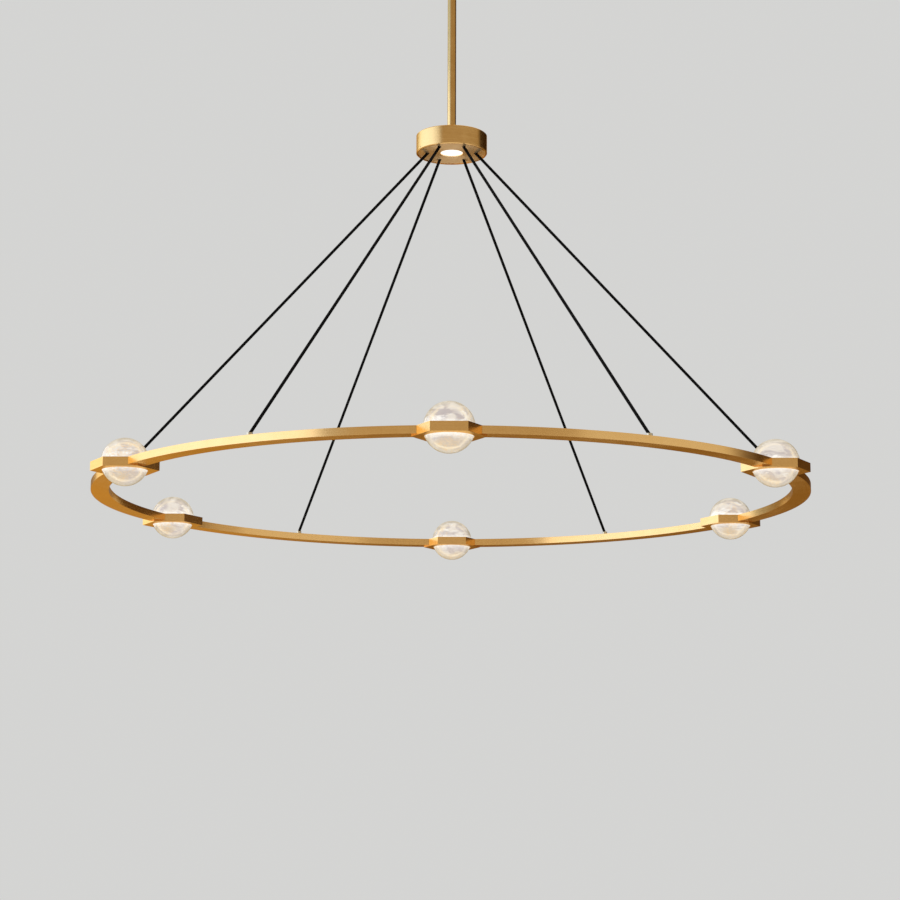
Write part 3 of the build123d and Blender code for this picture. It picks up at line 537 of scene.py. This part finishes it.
CARRIED_OVER = {
    "crossbar": zinc,
    "ceiling_nipple": zinc,
    "nipple_nuts": zinc,
    "pivot_screws": zinc,
    "rod_coupler": zinc,
    "hub_nipple": zinc,
    "hub_nut": zinc,
    "hub_screws": yellow_zinc,
    "downlight_screws": zinc,
    "cable_stops": zinc,
    "anchor_nuts": zinc,
    "bar_screws": yellow_zinc,
    "ground_screw": green_screw,
    "driver_pad": foam,
    "led_driver": driver_plastic,
    "downlight_diffuser": opal_disc,
    "downlight_board": board,
    "downlight_heatsink": cast_aluminium,
    "terminal_block": terminal_plastic,
    "stem_lead": lead_sleeve,
    "supply_tapes": lead_sleeve,
    "orb_gaskets": silicone,
    "light_rings": led_strip,
    "retaining_rings": brass_level,
}
for node, material in CARRIED_OVER.items():
    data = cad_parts[node].data
    data.materials.clear()
    data.materials.append(material)


# ==== cables: taut, from their stops in the drum to the ferrules ====

CABLE_DIAMETER = 0.0064
# radius from the axis, and level, of each point of the route
CABLE_ROUTE = ((0.0368, -0.7158), (0.0530, -0.7335), (0.7430, -1.4847))


def cable(index):
    angle = FIRST_CABLE_ANGLE + ANGLE_STEP * index
    route = [around(radius, angle, level) for radius, level in CABLE_ROUTE]
    line = bpy.data.curves.new(f"cable_line_{index + 1}", "CURVE")
    line.dimensions = "3D"
    line.bevel_depth = CABLE_DIAMETER / 2
    line.bevel_resolution = 6
    line.use_fill_caps = True
    spline = line.splines.new("NURBS")
    spline.points.add(len(route) - 1)
    for point, place in zip(spline.points, route):
        point.co = (*place, 1.0)
    spline.order_u = 3
    spline.use_endpoint_u = True
    line.materials.append(cable_black)
    piece = add_object(f"black_cable_{index + 1}", line)
    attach(piece, HANGING)
    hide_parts(f"cable_{index + 1}")


for index in range(ORB_COUNT):
    cable(index)


# ==== orbs ====

BALL_SEGMENTS = 96
BALL_RINGS = 48
HEART_SHARE = 0.93             # of the orb's radius


def ball(name, radius, material):
    shape = bmesh.new()
    bmesh.ops.create_uvsphere(
        shape, u_segments=BALL_SEGMENTS, v_segments=BALL_RINGS, radius=radius
    )
    for face in shape.faces:
        face.smooth = True
    return add_object(name, mesh_from(shape, name, material))


def glass_orb(index):
    angle = FIRST_ORB_ANGLE + ANGLE_STEP * index
    seat = Matrix.Translation(around(bar_circle, angle, orb_z))
    orb = ball(f"orb_{index + 1}", orb_radius, orb_glass)
    cloud = lit_cloud(index + 1)
    heart = ball(f"orb_heart_{index + 1}", orb_radius * HEART_SHARE, cloud)
    for piece in (orb, heart):
        piece.matrix_world = seat @ Matrix.Rotation(angle, 4, "Z")
        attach(piece, HANGING)
        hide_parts("glass_orbs")


for index in range(ORB_COUNT):
    glass_orb(index)


# ==== floor and background ====

PALE = (0.66, 0.66, 0.65)                  # what the camera sees all round
PAPER_LIGHT = (0.78, 0.78, 0.77)
PAPER_DARK = (0.74, 0.74, 0.73)
FLOOR_Z = -3.0
FLOOR_RADIUS = 60.0
FLOOR_SIDES = 96
# the floor, as brass and glass mirror it
MIRRORED_NEAR = (0.98, 0.90, 0.78)
MIRRORED_LEFT = (0.58, 0.38, 0.11)
MIRRORED_RIGHT = (0.26, 0.16, 0.05)
NEAR_TO_FAR = 1.2, 4.0                     # metres from the axis
LEFT_TO_RIGHT = -1.9, -0.4                 # metres along X
SHADE_FADES = 1.5, 7.0                     # metres from the axis
SHADE_UNDER = 0.45                         # share of plain background on the near floor


def seen_directly(s, path):
    """1 for rays from the camera, also through glass."""
    return s.math(
        "MAXIMUM", path.outputs["Is Camera Ray"], path.outputs["Is Transmission Ray"]
    )


def pale_floor():
    """A paper floor that keeps shadows and fades into the background."""
    shape = bmesh.new()
    bmesh.ops.create_circle(shape, cap_ends=True, radius=FLOOR_RADIUS, segments=FLOOR_SIDES)
    s = Shader("floor")
    floor = add_object("floor", mesh_from(shape, "floor", s.owner))
    floor.location.z = FLOOR_Z

    place = s.object_place()
    x, y, _ = s.split(place)
    reach = s.level_reach(x, y)
    path = s.node("LightPath")
    mirror_ray = path.outputs["Is Glossy Ray"]
    paper = s.blend(s.noise(place, 3.0, detail=3.0), PAPER_DARK, PAPER_LIGHT)
    far_floor = s.blend(s.stretch(x, *LEFT_TO_RIGHT), MIRRORED_LEFT, MIRRORED_RIGHT)
    mirrored = s.blend(s.stretch(reach, *NEAR_TO_FAR), MIRRORED_NEAR, far_floor)
    shown = s.blend(mirror_ray, PALE, mirrored)
    plain = s.stretch(reach, *SHADE_FADES, SHADE_UNDER, 1.0)
    plain = s.math("MULTIPLY", plain, seen_directly(s, path))
    plain = s.math("MAXIMUM", plain, mirror_ray)
    diffuse = s.node("BsdfDiffuse", {"Color": paper}).outputs[0]
    glow = s.node("Emission", {"Color": shown, "Strength": 1.0}).outputs[0]
    mixed = s.node("MixShader", {0: plain, 1: diffuse, 2: glow})
    s.node("OutputMaterial", {"Surface": mixed.outputs[0]})


# ---- the room that brass and glass mirror, low and high on each wall ----
FRONT_LOW, FRONT_HIGH = (0.78, 0.66, 0.48), (0.37, 0.27, 0.13)
LEFT_LOW, LEFT_HIGH = (0.62, 0.66, 0.70), (0.60, 0.80, 1.0)
BACK_LOW, BACK_HIGH = (0.15, 0.085, 0.035), (0.62, 0.54, 0.42)
CORNER_HIGH = (0.03, 0.015, 0.005)         # right of the back wall
ROOM_TOP = (0.72, 0.66, 0.56)
# parts of a unit direction
LOW_TO_HIGH = 0.11, 0.27
WALL_TO_TOP = 0.40, 0.52
FRONT_TO_LEFT = -0.45, -0.85
BACK_TO_FRONT = 0.30, 0.08
BACK_TO_CORNER = 0.20, 0.32
AMBIENT = 0.6                              # strength for matt surfaces


def surroundings():
    world = bpy.data.worlds.new("world")
    bpy.context.scene.world = world
    s = Shader("world", owner=world)
    x, y, z = s.split(s.node("TexCoord").outputs["Generated"])
    high = s.stretch(z, *LOW_TO_HIGH)
    front_wall = s.blend(high, FRONT_LOW, FRONT_HIGH)
    left_wall = s.blend(high, LEFT_LOW, LEFT_HIGH)
    back_middle = s.blend(high, BACK_LOW, BACK_HIGH)
    corner = s.blend(high, BACK_LOW, CORNER_HIGH)
    back_wall = s.blend(s.stretch(x, *BACK_TO_CORNER), back_middle, corner)
    mirrored = s.blend(s.stretch(y, *BACK_TO_FRONT), back_wall, front_wall)
    mirrored = s.blend(s.stretch(x, *FRONT_TO_LEFT), mirrored, left_wall)
    mirrored = s.blend(s.stretch(z, *WALL_TO_TOP), mirrored, ROOM_TOP)
    path = s.node("LightPath")
    mirror_ray = path.outputs["Is Glossy Ray"]
    shown = s.math("MAXIMUM", seen_directly(s, path), mirror_ray)
    inputs = {
        "Color": s.blend(mirror_ray, PALE, mirrored),
        "Strength": s.stretch(shown, 0.0, 1.0, AMBIENT, 1.0),
    }
    background = s.node("Background", inputs)
    s.node("OutputWorld", {"Surface": background.outputs[0]})


# ==== lamps: cards that brass mirrors, and soft boxes that light the rest ====

WHITE = (1.0, 1.0, 1.0)
LEFT_CARD = (0.80, 0.87, 0.98)
RIGHT_CARD = (0.80, 0.90, 0.90)
# name, place, point it faces, size, watts, colour, kind of ray that doesn't see it
LAMPS = (
    ("left_card", (-2.7, -0.15, -0.9), (0, -0.15, -1.1), (6.9, 2.6), 64, LEFT_CARD, "diffuse"),
    ("right_card", (3.2, -1.7, -1.0), (0, 0, -1.2), (3.6, 2.2), 7, RIGHT_CARD, "diffuse"),
    ("left_box", (-2.7, -0.3, -0.9), (0, -0.1, -1.1), (4.4, 2.6), 45, WHITE, "glossy"),
    ("top_box", (0.2, -0.4, 1.1), (0, 0, -1.5), (2.4, 2.4), 42, WHITE, "glossy"),
)


def soft_box(name, place, target, size, power, colour, unseen_by):
    """An area lamp that leaves out one kind of ray."""
    lamp = bpy.data.lights.new(name, "AREA")
    lamp.shape = "RECTANGLE"
    lamp.size, lamp.size_y = size
    lamp.energy = power
    lamp.color = colour
    holder = add_object(name, lamp)
    holder.visible_camera = False
    setattr(holder, f"visible_{unseen_by}", False)
    place, target = Vector(place), Vector(target)
    facing = (place - target).to_track_quat("Z", "Y").to_matrix().to_4x4()
    holder.matrix_world = Matrix.Translation(place) @ facing


pale_floor()
surroundings()
for facts in LAMPS:
    soft_box(*facts)
